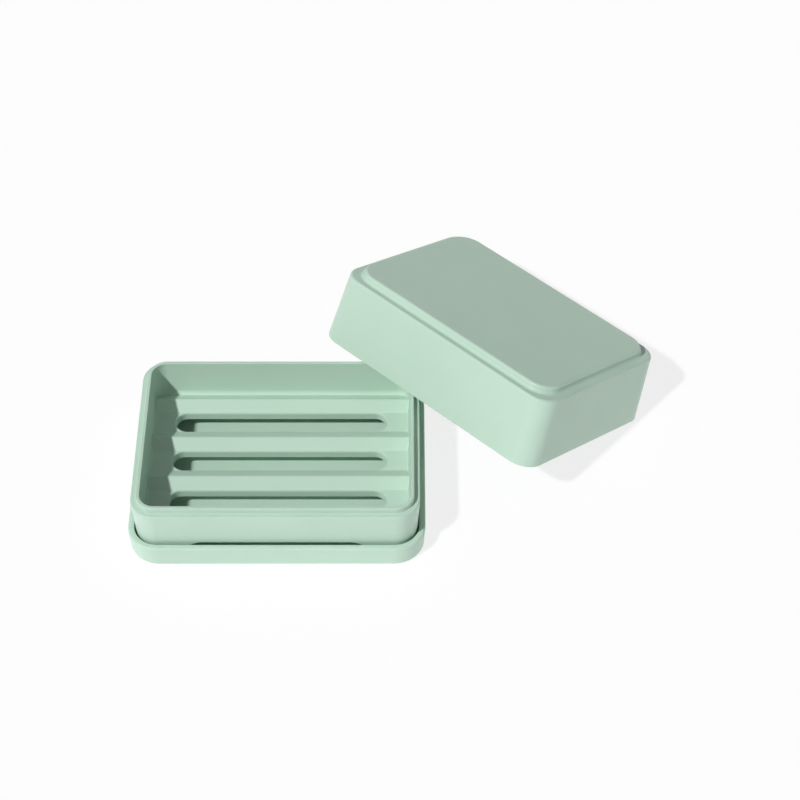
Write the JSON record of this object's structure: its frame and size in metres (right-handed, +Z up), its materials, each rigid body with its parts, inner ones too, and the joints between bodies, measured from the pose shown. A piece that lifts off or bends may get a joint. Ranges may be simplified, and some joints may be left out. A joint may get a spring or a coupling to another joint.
{
  "type": "soap dish",
  "caption": "Rounded rectangular soap holder with a ribbed, slotted floor, standing in a shallow drip tray, with its raised-top lid taken off and leaning on its lip.",
  "frame": {"origin": "centre of the drip tray's underside, on the surface that the tray stands on", "axes": "+Z up out of the holder; +X along the dish's length, towards the lid; -Y is the dish's front long side"},
  "size_m": [0.2155, 0.1614, 0.0597],
  "materials": {
    "drip_tray": "satin moulded plastic, mint green",
    "soap_holder": "satin moulded plastic, mint green",
    "lid": "satin moulded plastic, mint green"
  },
  "bodies": {
    "drip_tray": {"drip_tray": "drip_tray"},
    "soap_holder": {"soap_holder": "soap_holder"},
    "lid": {"lid": "lid"}
  },
  "joints": [
    {"name": "holder_lift", "type": "slide", "parent": "drip_tray", "child": "soap_holder", "axis": [0, 0, 1], "range_m": [0, 0.04]},
    {"name": "lid_lift", "type": "slide", "parent": "soap_holder", "child": "lid", "axis": [0, 0, 1], "range_m": [0, 0.06]}
  ]
}
